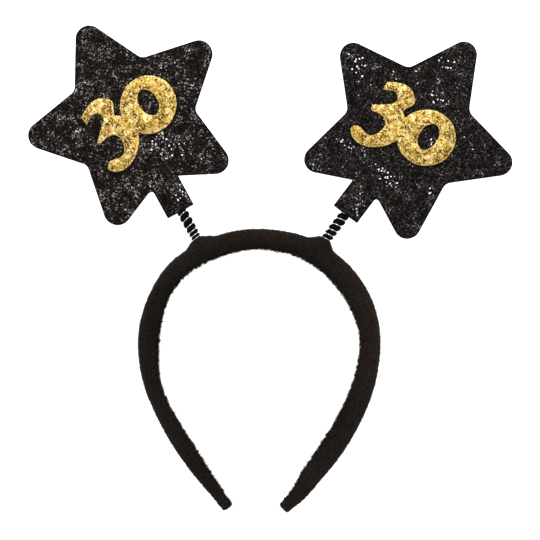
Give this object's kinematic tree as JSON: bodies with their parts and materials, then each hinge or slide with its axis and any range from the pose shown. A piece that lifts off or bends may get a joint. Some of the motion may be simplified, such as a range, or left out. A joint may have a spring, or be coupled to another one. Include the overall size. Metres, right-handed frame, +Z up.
{
  "type": "star headband",
  "caption": "Birthday headband: a padded felt hoop with two glitter foam stars that bob on coil springs, each with the number thirty in gold glitter.",
  "frame": {"origin": "on the table that the headband lies on, under the middle of its bounding box", "axes": "+X across the hoop, towards the wearer's left as it lies face up; +Y from the hoop's tips towards the stars; +Z up from the table, out of the stars' fronts"},
  "size_m": [0.2566, 0.2588, 0.0125],
  "materials": {
    "felt": "black felt with a short fuzzy nap",
    "spring_wire": "bright spring steel wire",
    "spring_core": "black cloth cord, bulging between the turns of the wire",
    "black_glitter": "foam sheet covered with black and grey glitter flakes",
    "gold_glitter": "foam sheet covered with gold glitter flakes"
  },
  "bodies": {
    "band": {"headband": "felt", "left_spring_wire": "spring_wire", "left_spring_core": "spring_core", "right_spring_wire": "spring_wire", "right_spring_core": "spring_core"},
    "left_star": {"left_star_front": "black_glitter", "left_star_back": "black_glitter", "left_number": "gold_glitter"},
    "right_star": {"right_star_front": "black_glitter", "right_star_back": "black_glitter", "right_number": "gold_glitter"}
  },
  "joints": [
    {"name": "left_bob", "type": "hinge", "parent": "band", "child": "left_star", "pos_m": [-0.04225, 0.02316, 0.00583], "axis": [0.878, 0.4787, 0], "range_deg": [-35, 35], "stiffness_Nm_per_rad": 0.02, "deforming": ["left_spring_wire", "left_spring_core"]},
    {"name": "right_bob", "type": "hinge", "parent": "band", "child": "right_star", "pos_m": [0.03525, 0.02213, 0.00584], "axis": [0.7965, -0.6046, 0], "range_deg": [-35, 35], "stiffness_Nm_per_rad": 0.02, "deforming": ["right_spring_wire", "right_spring_core"]}
  ]
}
